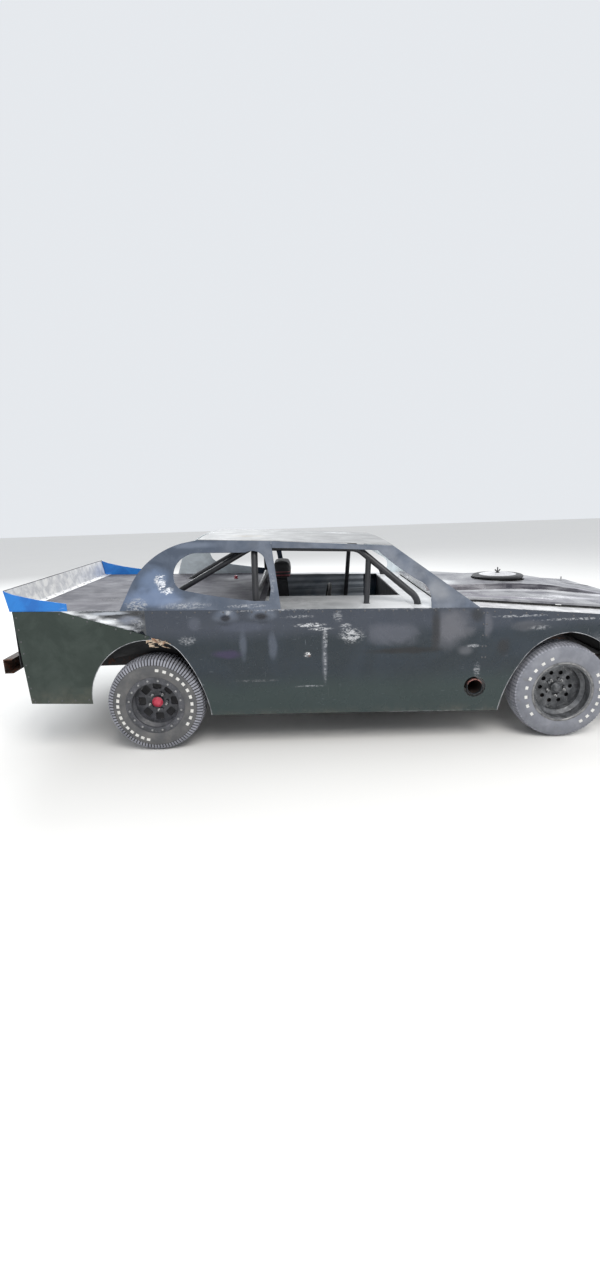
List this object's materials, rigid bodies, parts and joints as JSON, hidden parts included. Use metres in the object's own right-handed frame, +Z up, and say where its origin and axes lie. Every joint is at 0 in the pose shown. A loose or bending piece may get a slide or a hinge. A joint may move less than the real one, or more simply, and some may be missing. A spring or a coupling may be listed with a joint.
{
  "type": "oval track stock car coupe",
  "caption": "Stripped oval-track coupe: sheet-metal body, open windows, roll cage, rear spoiler, lift-off hood, steered front wheels.",
  "frame": {"origin": "middle of the car's footprint, on the ground", "axes": "+X toward the nose, +Y to the car's left, +Z up"},
  "size_m": [4.72, 1.93, 1.4179],
  "materials": {
    "side_paint": "scuffed semi-gloss black",
    "flat_sheet": "satin dark sheet",
    "roof_side_paint": "satin blue-grey primer",
    "roof_paint": "weathered pale grey",
    "deck_sheet": "dusty satin grey-brown",
    "cockpit_sheet": "dusty light grey sheet",
    "door_inner": "satin dark",
    "hood_paint": "weathered pale over black",
    "bare_aluminium": "dull and mottled",
    "dam_blue": "satin blue",
    "pin_steel": "bright",
    "frame_steel": "dusty satin black",
    "spring_steel": "satin black",
    "rusty_steel": "rusted",
    "cage_paint": "satin black",
    "engine_iron": "oily",
    "air_cleaner_black": "satin black with a worn lid",
    "seat_shell": "satin black",
    "seat_pad": "padded cloth with a red band",
    "wheel_grip": "worn foam grip",
    "rim_black": "chipped gloss black",
    "tyre_rubber": "dusty, faded"
  },
  "bodies": {
    "chassis": {"side_sheets": "side_paint", "quarter_skins": "side_paint", "fenders": "side_paint", "quarter_sheets": "flat_sheet", "sail_panels": "roof_side_paint", "pillar_panels": "roof_side_paint", "roof_bands": "roof_side_paint", "roof_panel": "roof_paint", "rear_decks": "deck_sheet", "tail_panel": "deck_sheet", "interior_decks": "cockpit_sheet", "cowl_dash": "cockpit_sheet", "tub_side": "cockpit_sheet", "floor_pan": "cockpit_sheet", "firewalls": "cockpit_sheet", "door_inner_skin": "door_inner", "fender_tops": "hood_paint", "nose_panel": "hood_paint", "spoiler": "bare_aluminium", "radiator": "bare_aluminium", "fuel_cell": "bare_aluminium", "spoiler_dams": "dam_blue", "hood_pins": "pin_steel", "frame_rails": "frame_steel", "rear_axle": "frame_steel", "control_arms": "frame_steel", "driveshaft": "frame_steel", "front_bumper": "frame_steel", "rear_springs": "spring_steel", "rear_bumper": "rusty_steel", "exhaust_pipes": "rusty_steel", "cage_main_hoop": "cage_paint", "cage_front_bars": "cage_paint", "cage_window_bars": "cage_paint", "cage_rear_braces": "cage_paint", "cage_door_bars": "cage_paint", "steering_column": "cage_paint", "engine_block": "engine_iron", "transmission": "engine_iron", "air_cleaner": "air_cleaner_black", "seat": "seat_shell", "headrest": "seat_pad"},
    "hood": {"hood": "hood_paint"},
    "steering_wheel": {"steering_wheel": "wheel_grip"},
    "knuckle_left": {"knuckle_left": "frame_steel"},
    "knuckle_right": {"knuckle_right": "frame_steel"},
    "wheel_front_left": {"rim_front_left": "rim_black", "tyre_front_left": "tyre_rubber"},
    "wheel_front_right": {"rim_front_right": "rim_black", "tyre_front_right": "tyre_rubber"},
    "wheel_rear_left": {"rim_rear_left": "rim_black", "tyre_rear_left": "tyre_rubber"},
    "wheel_rear_right": {"rim_rear_right": "rim_black", "tyre_rear_right": "tyre_rubber"}
  },
  "joints": [
    {"name": "steer_left", "type": "hinge", "parent": "chassis", "child": "knuckle_left", "pos_m": [1.445, 0.7595, 0.33], "axis": [0, 0, 1], "range_deg": [-30, 30]},
    {"name": "steer_right", "type": "hinge", "parent": "chassis", "child": "knuckle_right", "pos_m": [1.445, -0.7595, 0.33], "axis": [0, 0, 1], "range_deg": [-30, 30]},
    {"name": "spin_front_left", "type": "hinge", "parent": "knuckle_left", "child": "wheel_front_left", "pos_m": [1.445, 0.8475, 0.33], "axis": [0, 1, 0], "continuous": true},
    {"name": "spin_rear_left", "type": "hinge", "parent": "chassis", "child": "wheel_rear_left", "pos_m": [-1.3, 0.8475, 0.33], "axis": [0, 1, 0], "continuous": true},
    {"name": "spin_front_right", "type": "hinge", "parent": "knuckle_right", "child": "wheel_front_right", "pos_m": [1.445, -0.8475, 0.33], "axis": [0, 1, 0], "continuous": true},
    {"name": "spin_rear_right", "type": "hinge", "parent": "chassis", "child": "wheel_rear_right", "pos_m": [-1.3, -0.8475, 0.33], "axis": [0, 1, 0], "continuous": true},
    {"name": "steering_wheel_turn", "type": "hinge", "parent": "chassis", "child": "steering_wheel", "pos_m": [0, 0.35, 0.745], "axis": [-0.9891, 0, 0.1475], "range_deg": [-360, 360]},
    {"name": "hood_lift", "type": "slide", "parent": "chassis", "child": "hood", "axis": [0, 0, 1], "range_m": [0, 0.45]}
  ],
  "couplings": [
    {"joint": "steer_right", "follows": "steer_left", "ratio": 1},
    {"joint": "steering_wheel_turn", "follows": "steer_left", "ratio": 12}
  ]
}
